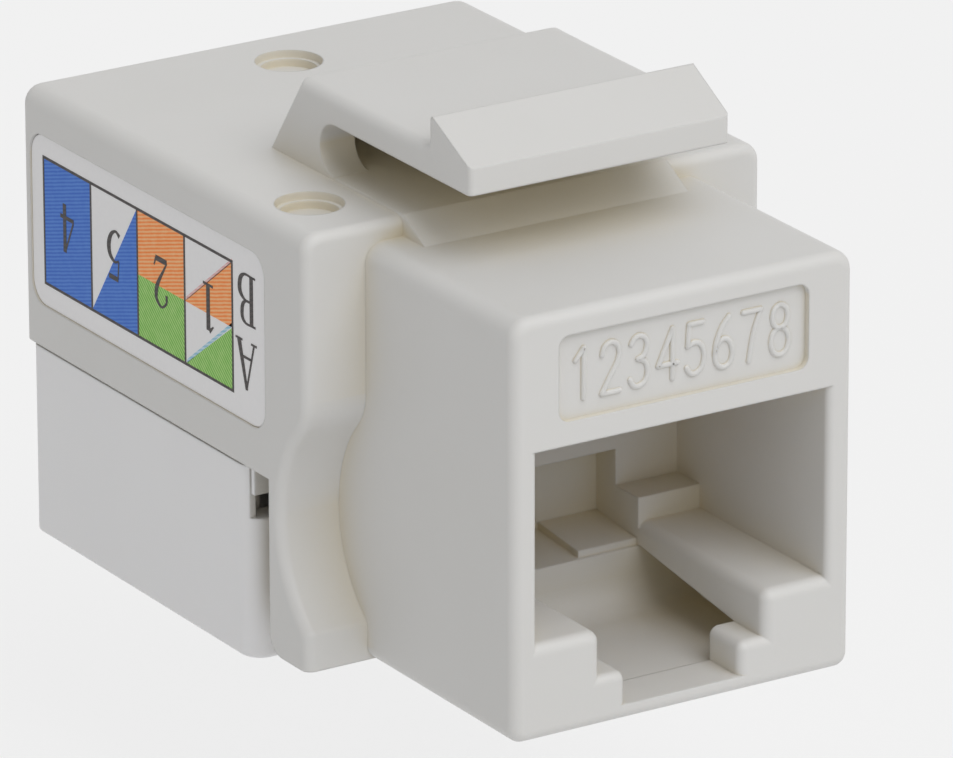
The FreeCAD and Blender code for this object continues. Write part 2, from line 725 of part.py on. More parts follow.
prism(cap, "front_notch", "XZ", "cap_front - 0.1", "cap_notch + 0.1",
      wide_outline("cap_wide + 1", "cap_front_high", "skirt_level"), True)
disc(cap, "cable_round", "XZ", "cap_rear - cap_wall - 0.1", "cap_wall + 0.2", "0",
     "cable_level + cable_hole / 2", "cable_hole / 2", True)
prism(cap, "cable_notch", "XZ", "cap_rear - cap_wall - 0.1", "cap_wall + 0.2",
      wide_outline("cable_hole", "cable_level + cable_hole / 2", "skirt_level"), True)
clip_out = "body_wide / 2 - hood_wall - fit_gap"
clip = prism(cap, "clip", "XZ", "(cap_front + cap_rear - clip_long) / 2", "clip_long",
             [(clip_out + " - clip_thick", "cap_floor - cap_drop - 0.1"),
              ("cap_wide / 2 - cap_wall / 2", "cap_floor - cap_drop - 0.1"),
              ("cap_wide / 2 - cap_wall / 2", cap_top + " - 0.6"), (clip_out, cap_top),
              (clip_out, cap_top + " + clip_rise"), (clip_out + " - clip_thick", cap_top + " + clip_rise")])
mirror(cap, "clip_pair", [clip])
rib = prism(cap, "rib", "XZ", "wire_first - rib_thick / 2", "rib_thick",
            box_outline("blade_side - rib_long / 2", "blade_side + rib_long / 2",
                        "cap_floor - cap_drop - 0.1", "rib_top"))
ribs = repeat(cap, "rib_row", [rib], "Y", "wire_apart", 4)
rib_left = prism(cap, "rib_far", "XZ", "wire_first - rib_thick / 2", "rib_thick",
                 box_outline("-blade_side - rib_long / 2", "-blade_side + rib_long / 2",
                             "cap_floor - cap_drop - 0.1", "rib_top"))
repeat(cap, "rib_row_far", [rib_left], "Y", "wire_apart", 4)

doc.recompute()

# Every object is sound before anything is written
nodes = ["housing", "latch_arm", "wiring_label_left", "wiring_label_right", "contact_carrier",
         "circuit_board", "idc_block", "dust_cap"]
for number in range(1, 9):
    nodes += ["contact_leg_%d" % number, "contact_beam_%d" % number, "idc_blade_%d" % number]
for thing in doc.Objects:
    for word in thing.State:
        if word in ("Invalid", "Error"):
            raise RuntimeError("%s is %s" % (thing.Label, word))
os.makedirs("parts", exist_ok=True)
for node in nodes:
    piece = doc.getObjectsByLabel(node)[0]
    if piece.Shape.isNull() or not piece.Shape.isValid() or len(piece.Shape.Solids) != 1:
        raise RuntimeError("%s is not one sound solid" % node)
    piece.Shape.exportStep("parts/%s.step" % node)
    print("%-20s volume %.2f" % (node, piece.Shape.Volume))
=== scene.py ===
import bpy
import bmesh
import math
from mathutils import Matrix, Vector


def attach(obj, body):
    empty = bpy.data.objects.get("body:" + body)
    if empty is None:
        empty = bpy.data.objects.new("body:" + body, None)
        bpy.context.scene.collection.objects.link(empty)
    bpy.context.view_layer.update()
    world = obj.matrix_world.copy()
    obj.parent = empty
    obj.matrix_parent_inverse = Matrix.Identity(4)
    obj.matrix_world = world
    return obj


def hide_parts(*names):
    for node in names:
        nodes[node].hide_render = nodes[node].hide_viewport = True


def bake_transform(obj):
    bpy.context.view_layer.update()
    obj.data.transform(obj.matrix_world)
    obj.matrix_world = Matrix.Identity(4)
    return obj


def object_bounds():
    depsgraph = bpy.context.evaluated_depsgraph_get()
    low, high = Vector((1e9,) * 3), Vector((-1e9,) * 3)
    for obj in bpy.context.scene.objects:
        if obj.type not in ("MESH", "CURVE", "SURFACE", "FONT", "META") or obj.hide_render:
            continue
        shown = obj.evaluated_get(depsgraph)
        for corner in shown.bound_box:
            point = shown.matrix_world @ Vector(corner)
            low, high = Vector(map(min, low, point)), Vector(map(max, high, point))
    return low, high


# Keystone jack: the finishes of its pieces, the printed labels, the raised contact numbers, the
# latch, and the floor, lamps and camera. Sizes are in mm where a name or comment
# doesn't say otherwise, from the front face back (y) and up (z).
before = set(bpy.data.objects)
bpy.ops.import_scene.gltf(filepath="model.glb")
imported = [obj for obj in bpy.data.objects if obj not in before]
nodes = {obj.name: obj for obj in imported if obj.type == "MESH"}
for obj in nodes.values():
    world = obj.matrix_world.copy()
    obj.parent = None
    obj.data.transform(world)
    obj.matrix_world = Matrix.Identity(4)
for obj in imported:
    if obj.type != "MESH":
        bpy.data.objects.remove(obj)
cad_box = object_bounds()
MM = 0.001


# ---------------------------------------------------------------- colours
def linear(hex_code):
    """Linear colour of an sRGB hex code."""
    values = [int(hex_code[i:i + 2], 16) / 255 for i in (1, 3, 5)]
    bent = [v / 12.92 if v <= 0.04045 else ((v + 0.055) / 1.055) ** 2.4 for v in values]
    return (*bent, 1.0)


WARM_WHITE = "#dedddb"
WARM_SHADE = "#d9d8d5"
# painted shade: the darker straw colour that the hollows of the warm white plastic are blended
# toward
WARM_PAINTED_SHADE = "#dbcca5"
COOL_WHITE = "#f1f1f1"
COOL_SHADE = "#ecebec"
# painted shade: the darker warm grey that the hollows of the cool white plastic are blended toward
COOL_PAINTED_SHADE = "#cfcbc2"
LABEL_WHITE = "#f5f4f4"
LABEL_SHADE = "#efeeef"
# each ink's full colour, and where the ribbon laid it thinly
INK_DARK, INK_DARK_THIN = "#2b2625", "#453d3b"
INK_BLUE, INK_BLUE_THIN = "#085dca", "#4d89dc"
INK_ORANGE, INK_ORANGE_THIN = "#fc831c", "#ffc78c"
INK_GREEN, INK_GREEN_THIN = "#5fb328", "#b9e088"
INK_BROWN, INK_BROWN_THIN = "#8a5a3c", "#bd9272"
INK_PINK, INK_PINK_THIN = "#e3a9a6", "#f0d3cf"
INK_SKY, INK_SKY_THIN = "#8cc3dd", "#cfe6ef"
GOLD, GOLD_WORN = "#d9a642", "#c9953a"
TIN, TIN_WORN = "#b9b8b2", "#a3a29c"
SOLDER_MASK, TRACE_GREEN = "#1f5a35", "#2f7a48"
FLOOR_WHITE, FLOOR_SHADE = "#fafafa", "#f8f8f8"
BACKDROP = "#f4f4f4"


# ---------------------------------------------------------------- materials
def add(tree, kind, inputs=None, **settings):
    """One shader node, with its settings, its input values and its links."""
    made = tree.nodes.new("ShaderNode" + kind)
    for name, value in settings.items():
        setattr(made, name, value)
    for name, value in (inputs or {}).items():
        if isinstance(value, bpy.types.NodeSocket):
            tree.links.new(value, made.inputs[name])
        else:
            made.inputs[name].default_value = value
    return made


def new_material(name):
    """Empty material, with its node tree and the place on the piece for its patterns."""
    material = bpy.data.materials.new(name)
    material.use_nodes = True
    tree = material.node_tree
    tree.nodes.clear()
    place = add(tree, "TexCoord").outputs["Object"]
    return material, tree, place


def per_metre(size_mm):
    """Texture scale that gives one cell of a pattern this size."""
    return 1 / (size_mm * MM)


def per_metre_waves(apart_mm):
    """Scale of the wave texture that sets its bands this far apart. Its wave turns 20 radians
    per unit, so at a scale of 1 the bands lie pi / 10 apart."""
    return math.pi / 10 * per_metre(apart_mm)


def moulded_plastic(name, pale, shade, painted_shade, gloss_low, gloss_high, grain_mm, grain_depth):
    """Injection-moulded thermoplastic: an even satin skin with a faint spark-eroded grain,
    slow changes of tone where the melt cooled, edges that the tool leaves rounded, and painted
    shade in the hollows: where ambient occlusion finds them closed in, the colour goes darker and
    straw-warm, painted to stand in for shade and for light that has passed through the slightly
    translucent walls. The grain is 0.14 to 0.16 mm, several times coarser than the real one, or it
    wouldn't show."""
    material, tree, place = new_material(name)
    tone = add(tree, "TexNoise", {"Vector": place, "Scale": per_metre(7.0), "Detail": 3.0})
    skin = add(tree, "Mix", {0: tone.outputs["Fac"], 6: linear(pale), 7: linear(shade)},
               data_type="RGBA")
    # what faces down lies close to the floor, not in a hollow, so the painted shade leaves it the
    # plain colour
    facing = add(tree, "SeparateXYZ", {0: add(tree, "NewGeometry").outputs["Normal"]})
    below = add(tree, "MapRange", {"Value": facing.outputs["Z"], 1: -0.4, 2: 0.0, 3: 0.6, 4: 0.0})
    # painted shade: ambient occlusion within 5 mm blends the hollows toward the darker straw colour
    hollow_ao = add(tree, "AmbientOcclusion", {"Distance": 5 * MM}, samples=6)
    shade_clearance = add(tree, "Math", {0: hollow_ao.outputs["AO"], 1: below.outputs[0]}, operation="ADD")
    unshaded_share = add(tree, "MapRange", {"Value": shade_clearance.outputs[0], 1: 0.0, 2: 0.7})
    colour = add(tree, "Mix", {0: unshaded_share.outputs[0], 6: linear(painted_shade), 7: skin.outputs[2]},
                 data_type="RGBA")
    fine = add(tree, "TexNoise", {"Vector": place, "Scale": per_metre(grain_mm), "Detail": 2.0})
    speck = add(tree, "MapRange", {"Value": fine.outputs["Fac"], 3: gloss_low, 4: gloss_high})
    edge = add(tree, "Bevel", {"Radius": 0.12 * MM}, samples=6)
    bump = add(tree, "Bump", {"Height": fine.outputs["Fac"], "Strength": 0.35,
                              "Distance": grain_depth * MM, "Normal": edge.outputs["Normal"]})
    plastic = add(tree, "BsdfPrincipled", {
        "Base Color": colour.outputs[2], "Roughness": speck.outputs[0], "IOR": 1.53,
        "Normal": bump.outputs["Normal"], "Subsurface Weight": 0.08,
        "Subsurface Radius": (1.0, 0.9, 0.8), "Subsurface Scale": 0.4 * MM})
    add(tree, "OutputMaterial", {"Surface": plastic.outputs["BSDF"]})
    return material


# ABS of the housing, the latch and the contact comb: warm white, satin, with painted straw shade in
# its hollows
abs_moulded = moulded_plastic("abs_moulded_warm_white", WARM_WHITE, WARM_SHADE, WARM_PAINTED_SHADE,
                              0.42, 0.56, 0.16, 0.004)
# Polycarbonate of the cap and the wire block: cooler, smoother, a little more gloss, with painted
# warm grey shade in its hollows
polycarbonate_moulded = moulded_plastic("polycarbonate_moulded_cool_white", COOL_WHITE, COOL_SHADE,
                                        COOL_PAINTED_SHADE, 0.34, 0.48, 0.14, 0.003)


def printed_ink(name, ink, thin, rib_mm=0.14, slant=math.radians(17)):
    """Ink laid on vinyl film by a ribbon printer, which leaves fine ribs of thinner ink. The
    ribs are about twice as far apart as the printer's lines, so that they show."""
    material, tree, place = new_material(name)
    turned = add(tree, "Mapping", {"Vector": place, "Rotation": (slant, 0.0, 0.0)})
    ribs = add(tree, "TexWave", {"Vector": turned.outputs["Vector"], "Distortion": 0.6,
                                 "Detail": 1.0, "Scale": per_metre_waves(rib_mm)},
               bands_direction="Z")
    blot = add(tree, "TexNoise", {"Vector": place, "Scale": per_metre(0.3), "Detail": 2.0})
    uneven = add(tree, "Math", {0: blot.outputs["Fac"], 1: 0.6, 2: ribs.outputs["Fac"]},
                 operation="MULTIPLY_ADD")
    mixed = add(tree, "MapRange", {"Value": uneven.outputs[0], 1: 0.3, 2: 1.4})
    colour = add(tree, "Mix", {0: mixed.outputs[0], 6: linear(ink), 7: linear(thin)},
                 data_type="RGBA")
    dry = add(tree, "BsdfPrincipled", {"Base Color": colour.outputs[2], "Roughness": 0.5,
                                       "IOR": 1.5})
    add(tree, "OutputMaterial", {"Surface": dry.outputs["BSDF"]})
    return material


# Near-black ink of the frame, figures and letters: dense, with ribs that hardly show
ink_dark = printed_ink("ribbon_ink_dark", INK_DARK, INK_DARK_THIN, 0.2)
# Coloured inks of the wire pairs: flat fields with slanting ribs, the green ones crosswise, and
# the pale pink and blue edges where a second colour overprints the white
INKS = {
    "blue": printed_ink("ribbon_ink_blue", INK_BLUE, INK_BLUE_THIN),
    "orange": printed_ink("ribbon_ink_orange", INK_ORANGE, INK_ORANGE_THIN),
    "green": printed_ink("ribbon_ink_green", INK_GREEN, INK_GREEN_THIN, 0.14, math.radians(-40)),
    "brown": printed_ink("ribbon_ink_brown", INK_BROWN, INK_BROWN_THIN),
    "pink": printed_ink("ribbon_ink_pink_edge", INK_PINK, INK_PINK_THIN),
    "sky": printed_ink("ribbon_ink_sky_edge", INK_SKY, INK_SKY_THIN),
}


def vinyl_film():
    """Matt white vinyl film: flat and even, with a very slight waviness of the adhesive."""
    material, tree, place = new_material("vinyl_film_white")
    wave = add(tree, "TexNoise", {"Vector": place, "Scale": per_metre(2.0), "Detail": 1.0})
    fibre = add(tree, "TexNoise", {"Vector": place, "Scale": per_metre(0.2), "Detail": 2.0})
    colour = add(tree, "Mix", {0: fibre.outputs["Fac"], 6: linear(LABEL_WHITE),
                               7: linear(LABEL_SHADE)}, data_type="RGBA")
    bump = add(tree, "Bump", {"Height": wave.outputs["Fac"], "Strength": 0.2,
                              "Distance": 0.02 * MM})
    vinyl = add(tree, "BsdfPrincipled", {"Base Color": colour.outputs[2], "Roughness": 0.45,
                                         "IOR": 1.5, "Normal": bump.outputs["Normal"]})
    add(tree, "OutputMaterial", {"Surface": vinyl.outputs["BSDF"]})
    return material


def plated_metal(name, base, worn, smooth, rough):
    """Plated strip: drawn lengthwise, so the polish shows faint streaks along the wire."""
    material, tree, place = new_material(name)
    streak = add(tree, "Mapping", {"Vector": place, "Scale": (1.0, 0.08, 0.08)})
    drawn = add(tree, "TexNoise", {"Vector": streak.outputs["Vector"], "Scale": per_metre(0.06),
                                   "Detail": 2.0})
    colour = add(tree, "Mix", {0: drawn.outputs["Fac"], 6: linear(base), 7: linear(worn)},
                 data_type="RGBA")
    gloss = add(tree, "MapRange", {"Value": drawn.outputs["Fac"], 3: smooth, 4: rough})
    metal = add(tree, "BsdfPrincipled", {"Base Color": colour.outputs[2], "Metallic": 1.0,
                                         "Roughness": gloss.outputs[0]})
    add(tree, "OutputMaterial", {"Surface": metal.outputs["BSDF"]})
    return material


def solder_masked_board():
    """Glass-epoxy board under green solder mask: the copper traces show as paler bands."""
    material, tree, place = new_material("glass_epoxy_solder_mask")
    weave = add(tree, "TexVoronoi", {"Vector": place, "Scale": per_metre(0.35)},
                feature="DISTANCE_TO_EDGE")
    bands = add(tree, "TexWave", {"Vector": place, "Scale": per_metre_waves(1.1),
                                  "Distortion": 2.5}, bands_direction="X")
    track = add(tree, "Math", {0: bands.outputs["Fac"], 1: 0.7}, operation="GREATER_THAN")
    colour = add(tree, "Mix", {0: track.outputs[0], 6: linear(SOLDER_MASK), 7: linear(TRACE_GREEN)},
                 data_type="RGBA")
    bump = add(tree, "Bump", {"Height": weave.outputs["Distance"], "Strength": 0.2,
                              "Distance": 0.01 * MM})
    mask = add(tree, "BsdfPrincipled", {"Base Color": colour.outputs[2], "Roughness": 0.32,
                                        "IOR": 1.55, "Normal": bump.outputs["Normal"]})
    add(tree, "OutputMaterial", {"Surface": mask.outputs["BSDF"]})
    return material


# Vinyl of the two labels: paper-white and matt
film = vinyl_film()
# Gold over spring bronze on the contacts: yellow, with a soft drawn shine
gold_plated = plated_metal("gold_plated_spring_wire", GOLD, GOLD_WORN, 0.18, 0.32)
# Tin over bronze on the wire blades: grey, duller than the gold
tin_plated = plated_metal("tin_plated_blade", TIN, TIN_WORN, 0.28, 0.42)
# Circuit board: dark green and glossy, seen only when the jack is opened
board_mask = solder_masked_board()

for name, node in nodes.items():
    if name in ("housing", "latch_arm", "contact_carrier"):
        surface = abs_moulded
    elif name in ("dust_cap", "idc_block"):
        surface = polycarbonate_moulded
    elif name.startswith("wiring_label"):
        surface = film
    elif name.startswith("contact_"):
        surface = gold_plated
    elif name.startswith("idc_blade"):
        surface = tin_plated
    else:
        surface = board_mask
    node.data.materials.clear()
    node.data.materials.append(surface)


# ---------------------------------------------------------------- meshes
LIFT = 8.05         # from the underside of the front block to the origin


def mesh_piece(name, points, faces, surface):
    """Mesh in millimetres, made a piece with one material and its faces all outward."""
    mesh = bpy.data.meshes.new(name)
    mesh.from_pydata([Vector(point) * MM for point in points], [], faces)
    mesh.materials.append(surface)
    body = bmesh.new()
    body.from_mesh(mesh)
    bmesh.ops.recalc_face_normals(body, faces=body.faces)
    body.to_mesh(mesh)
    body.free()
    piece = bpy.data.objects.new(name, mesh)
    bpy.context.scene.collection.objects.link(piece)
    return piece


# ---------------------------------------------------------------- latch
# Its levels are measured from the underside of the front block
SKIN = 0.012                    # how far the strip lies outside the solids of arm and bridge
ARM_HALF = 5.65 + SKIN          # half the arm's width
WEB_INNER = 4.18 - SKIN         # inner faces of the bridge's two side webs
ARM_LOW, ARM_TOP = 18.92, 20.03
TOOTH_FRONT, TOOTH_REAR = 5.34, 7.97
TOOTH_NOSE, TOOTH_TIP = 19.95, 21.21
FOOT = 16.76                    # the bridge's foot, just inside the hood's roof
BED, BED_REAR = 16.91, 18.026   # floor of the hollow in the bridge, and where it ends
SLOT_Y, SLOT_Z, SLOT_RADIUS = 14.625, 17.915, 1.005 - SKIN
EDGE_ROUND = 0.44               # rounding of the arm's upper edges
CORNER_ROUND = 0.2              # rounding of the tooth's two front corners
RIGHT_SHY = 0.27                # how much the arm's front end falls short on the right
SHY_FROM, SHY_LONG = 10.0, 3.0  # where that starts, and how far it takes to reach it all
LEFT_WEB, RIGHT_WEB = 7, 8      # the two columns at the inner faces of the side webs


def latch_outline():
    """Side outline of bridge, arm and tooth, in four stretches: from the bridge's rear foot over
    the top to the tooth, down its ramp, down its front, and back under the arm to the slot.
    Each point is (y, z, how the rounded edge turns in there: along y, along z)."""
    over = [(BED_REAR, FOOT, 0, 0), (19.22, FOOT, -0.33, -0.22),
            (18.4, 17.97 + SKIN, -0.42, -0.28), (17.142, 19.878, -0.485, -0.84),
            (17.068, 19.998, -0.49, -0.86), (17.017, 20.044, -0.46, -0.93),
            (16.952, 20.06, -0.4, -1), (16.8, 20.053, -0.3, -1)]
    # closely spaced over the root, where the arm bends
    over += [(16.4 - 0.2 * step, ARM_TOP + (SKIN if step < 5 else 0), 0, -1) for step in range(18)]
    over += [(10.5, ARM_TOP, 0, -1)]
    over += [(TOOTH_REAR + back, ARM_TOP + rise, 0, turn)
             for back, rise, turn in ((0.9, 0, -0.95), (0.5, 0, -0.7), (0.3, 0, -0.45),
                                      (0.14, 0.03, -0.25), (0.03, 0.14, -0.1), (0, 0.3, 0))]
    over += [(TOOTH_REAR, TOOTH_TIP - 0.1, 0, 0), (TOOTH_REAR - 0.1, TOOTH_TIP, 0, 0)]
    nearing = [CORNER_ROUND * (1 - math.cos(math.radians(22.5 * step))) for step in range(5)]
    slope = (TOOTH_TIP - TOOTH_NOSE) / (TOOTH_REAR - TOOTH_FRONT)
    ramp = [(TOOTH_FRONT + back, TOOTH_NOSE + slope * back, 0, 0) for back in reversed(nearing)]
    sole = [(TOOTH_FRONT + back, ARM_LOW, 0, 0) for back in nearing]
    root = [13.0 + 0.2 * step for step in range(8)]
    under = [(y, ARM_LOW, 0, 0) for y in (7.5, 10.5, *root, SLOT_Y)]
    return over, ramp, sole, under


def slot_rim():
    """Rear half of the round slot, down to the bridge's foot."""
    arc = [math.pi / 2 - math.pi * step / 12 for step in range(1, 13)]
    return [(SLOT_Y + SLOT_RADIUS * math.cos(angle), SLOT_Z + SLOT_RADIUS * math.sin(angle), 0, 0)
            for angle in arc] + [(SLOT_Y, FOOT, 0, 0)]


def arm_columns():
    """Places across the arm, as (x, how far the rounded edge has dropped there)."""
    quarter = [math.radians(15 * step) for step in range(7)]
    outer = [(ARM_HALF - EDGE_ROUND + EDGE_ROUND * math.cos(angle),
              EDGE_ROUND * (1 - math.sin(angle))) for angle in quarter]
    return [(-x, drop) for x, drop in outer] + [(-WEB_INNER, 0), (WEB_INNER, 0)] + outer[::-1]


def narrowing(y, side):
    """How far the arm's side steps in at this y: at the tooth's front corner, and on the right."""
    back = min(max(y - TOOTH_FRONT, 0.0), CORNER_ROUND)
    drawn = CORNER_ROUND - math.sqrt(CORNER_ROUND ** 2 - (CORNER_ROUND - back) ** 2)
    shy = RIGHT_SHY * min(max((SHY_FROM - y) / SHY_LONG, 0.0), 1.0) if side > 0 else 0.0
    return drawn + shy


def latch_strip():
    """Arm, tooth and bridge as one moulding, its outline closely spaced where the arm leaves the
    bridge.
    The bridge is hollow between its two side webs, open to the front under the arm."""
    over, ramp, sole, under = latch_outline()
    around = over + ramp + sole + under
    web = slot_rim()
    hollow = [(16.482, ARM_LOW, 0, 0), (BED_REAR, BED, 0, 0)]
    columns = arm_columns()
    last = len(columns) - 1
    points, index = [], {}

    def corner(column, spot):
        key = (column, spot)
        if key not in index:
            x, drop = columns[column]
            y, z, along_y, along_z = spot
            if abs(x) > WEB_INNER:
                x -= math.copysign(narrowing(y, x), x)
            index[key] = len(points)
            points.append((x, y + along_y * drop, z + along_z * drop - LIFT))
        return index[key]

    def band(line, first, final):
        return [[corner(c, a), corner(c, b), corner(c + 1, b), corner(c + 1, a)]
                for c in range(first, final) for a, b in zip(line, line[1:])]

    # the side webs stop at the round slot, the middle stops at the hollow
    faces = band(around, 0, last)
    slot_line = [around[-1], *web, around[0]]
    faces += band(slot_line, 0, LEFT_WEB) + band(slot_line, RIGHT_WEB, last)
    faces += band([around[-1], *hollow, around[0]], LEFT_WEB, RIGHT_WEB)
    for column in (0, last):
        faces.append([corner(column, spot) for spot in over + ramp[:1] + sole[-1:] + under + web])
        for i in range(4):
            faces.append([corner(column, spot)
                          for spot in (ramp[i], ramp[i + 1], sole[3 - i], sole[4 - i])])
    for column in (LEFT_WEB, RIGHT_WEB):
        faces.append([corner(column, spot) for spot in slot_line + hollow[::-1]])
    piece = mesh_piece("latch_strip", points, faces, abs_moulded)
    for face in piece.data.polygons:
        face.use_smooth = True
    piece.data.set_sharp_from_angle(angle=math.radians(32))
    fine = piece.modifiers.new("fine_edges", "BEVEL")
    fine.width = 0.09 * MM
    fine.segments = 3
    fine.limit_method = "ANGLE"
    fine.angle_limit = math.radians(35)
    fine.harden_normals = True
    bpy.context.view_layer.update()
    bevelled = piece.evaluated_get(bpy.context.evaluated_depsgraph_get())
    solid = bpy.data.meshes.new_from_object(bevelled)
    piece.modifiers.clear()
    piece.data = solid
    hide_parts("latch_arm")
    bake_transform(piece)


# ---------------------------------------------------------------- labels
FILM_FACE = 9.77    # how far the face of each label's film lies from the middle of the jack


def label_film(side, word):
    """Vinyl film with rounded corners, which fills its shallow seat in the side wall."""
    back, front, low, high = 29.675, 12.695, 8.445 - LIFT, 15.195 - LIFT
    bend = 0.9                  # rounding of the film's corners
    inner = 9.56                # how far its back lies from the middle of the jack
    shy, lip = 0.02, 0.015      # the face's edge is broken this far in, over this depth
    outline = []
    for y, z, start in ((back - bend, high - bend, 0), (front + bend, high - bend, 90),
                        (front + bend, low + bend, 180), (back - bend, low + bend, 270)):
        for step in range(9):
            angle = math.radians(start + 90 * step / 8)
            outline.append((y + bend * math.cos(angle), z + bend * math.sin(angle)))
    count = len(outline)
    layers = ((inner, 0.0), (FILM_FACE - lip, 0.0), (FILM_FACE, shy))
    centre_y, centre_z = (back + front) / 2, (low + high) / 2
    points = [(side * level, y - math.copysign(less, y - centre_y),
               z - math.copysign(less, z - centre_z)) for level, less in layers for y, z in outline]
    faces = [tuple(range(count)), tuple(range(3 * count - 1, 2 * count - 1, -1))]
    faces += [(ring * count + i, (ring + 1) * count + i, (ring + 1) * count + (i + 1) % count,
               ring * count + (i + 1) % count) for ring in (0, 1) for i in range(count)]
    piece = mesh_piece("label_film_" + word, points, faces, film)
    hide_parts("wiring_label_" + word)
    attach(piece, "jack")


# Serif figures and letters: strokes of (across, up, width) in units of the letter's height
FIGURES = {
    "1": [[(0.28, 0.03, 0.13), (0.28, 0.93, 0.13)], [(0.1, 0.02, 0.05), (0.46, 0.02, 0.05)],
          [(0.1, 0.82, 0.03), (0.24, 0.94, 0.08)]],
    "2": [[(0.07, 0.72, 0.09), (0.08, 0.88, 0.06), (0.26, 1.0, 0.05), (0.44, 0.88, 0.1),
           (0.44, 0.68, 0.12), (0.34, 0.48, 0.09), (0.18, 0.26, 0.06), (0.05, 0.07, 0.04)],
          [(0.05, 0.06, 0.11), (0.46, 0.06, 0.11)], [(0.45, 0.06, 0.06), (0.52, 0.22, 0.03)]],
    "3": [[(0.08, 0.78, 0.08), (0.13, 0.94, 0.05), (0.27, 1.0, 0.05), (0.41, 0.9, 0.1),
           (0.41, 0.72, 0.11), (0.31, 0.59, 0.06), (0.2, 0.55, 0.04)],
          [(0.2, 0.55, 0.04), (0.36, 0.52, 0.07), (0.47, 0.37, 0.12), (0.44, 0.15, 0.11),
           (0.27, 0.01, 0.05), (0.12, 0.03, 0.06), (0.06, 0.13, 0.09)]],
    "4": [[(0.38, 0.02, 0.12), (0.38, 1.0, 0.12)], [(0.36, 0.97, 0.05), (0.05, 0.33, 0.05)],
          [(0.03, 0.29, 0.08), (0.54, 0.29, 0.08)]],
    "5": [[(0.13, 0.95, 0.1), (0.48, 0.95, 0.1)], [(0.14, 0.95, 0.04), (0.1, 0.58, 0.04)],
          [(0.1, 0.57, 0.04), (0.26, 0.62, 0.06), (0.43, 0.51, 0.11), (0.47, 0.31, 0.13),
           (0.38, 0.1, 0.09), (0.21, 0.0, 0.05), (0.07, 0.07, 0.09)]],
    "6": [[(0.46, 0.99, 0.03), (0.3, 0.9, 0.06), (0.14, 0.68, 0.11), (0.08, 0.4, 0.12),
           (0.12, 0.14, 0.09), (0.27, 0.01, 0.05), (0.43, 0.14, 0.1), (0.46, 0.33, 0.12),
           (0.38, 0.52, 0.07), (0.26, 0.58, 0.05), (0.13, 0.48, 0.04)]],
    "7": [[(0.06, 0.95, 0.1), (0.5, 0.95, 0.1)], [(0.07, 0.97, 0.04), (0.04, 0.78, 0.03)],
          [(0.48, 0.93, 0.05), (0.33, 0.6, 0.08), (0.21, 0.02, 0.12)]],
    "8": [[(0.27, 0.99, 0.05), (0.4, 0.92, 0.09), (0.43, 0.78, 0.1), (0.34, 0.62, 0.06),
           (0.2, 0.52, 0.08), (0.08, 0.37, 0.1), (0.06, 0.2, 0.11), (0.14, 0.06, 0.07),
           (0.27, 0.01, 0.05), (0.42, 0.08, 0.08), (0.48, 0.22, 0.1), (0.42, 0.38, 0.09),
           (0.27, 0.52, 0.08), (0.14, 0.66, 0.1), (0.11, 0.82, 0.1), (0.17, 0.94, 0.07),
           (0.27, 0.99, 0.05)]],
    "A": [[(0.06, 0.03, 0.05), (0.34, 0.98, 0.05)], [(0.33, 0.98, 0.08), (0.6, 0.03, 0.13)],
          [(0.14, 0.34, 0.05), (0.5, 0.34, 0.05)], [(-0.04, 0.02, 0.04), (0.16, 0.02, 0.04)],
          [(0.48, 0.02, 0.04), (0.72, 0.02, 0.04)]],
    "B": [[(0.14, 0.0, 0.12), (0.14, 1.0, 0.12)],
          [(0.14, 0.98, 0.04), (0.34, 0.98, 0.05), (0.47, 0.88, 0.1), (0.46, 0.66, 0.1),
           (0.34, 0.54, 0.05), (0.14, 0.53, 0.04)],
          [(0.14, 0.53, 0.04), (0.38, 0.52, 0.05), (0.55, 0.38, 0.12), (0.53, 0.14, 0.11),
           (0.38, 0.02, 0.05), (0.14, 0.02, 0.04)],
          [(0.0, 0.98, 0.04), (0.2, 0.98, 0.04)], [(0.0, 0.02, 0.04), (0.2, 0.02, 0.04)]],
}


def smooth_line(stroke):
    """Rounded curve through a stroke's points. A stroke of two points stays straight."""
    if len(stroke) < 3:
        return [Vector(point) for point in stroke]
    ring = stroke[0] == stroke[-1]
    before = stroke[-2] if ring else stroke[0]
    after = stroke[1] if ring else stroke[-1]
    knots = [Vector(point) for point in [before, *stroke, after]]
    line = []
    for i in range(1, len(knots) - 2):
        a, b, c, d = knots[i - 1:i + 3]
        for step in range(6):
            t = step / 6
            line.append(0.5 * (2 * b + (c - a) * t + (2 * a - 5 * b + 4 * c - d) * t * t
                               + (3 * b - a - 3 * c + d) * t * t * t))
    line.append(knots[-2])
    return line


# How high each print stands on the film. No two that cross lie level, or they would flicker
FIELD_HIGH, LEVEL_LINE_HIGH, UPRIGHT_LINE_HIGH, FIGURE_HIGH = 0.006, 0.011, 0.012, 0.014
STROKE_STEP = 0.0008    # how much higher each further stroke of a figure stands
FIGURE_MIDDLE = 0.27    # across a figure, in units of its height
SUNK = 0.01             # how far each print reaches into the film


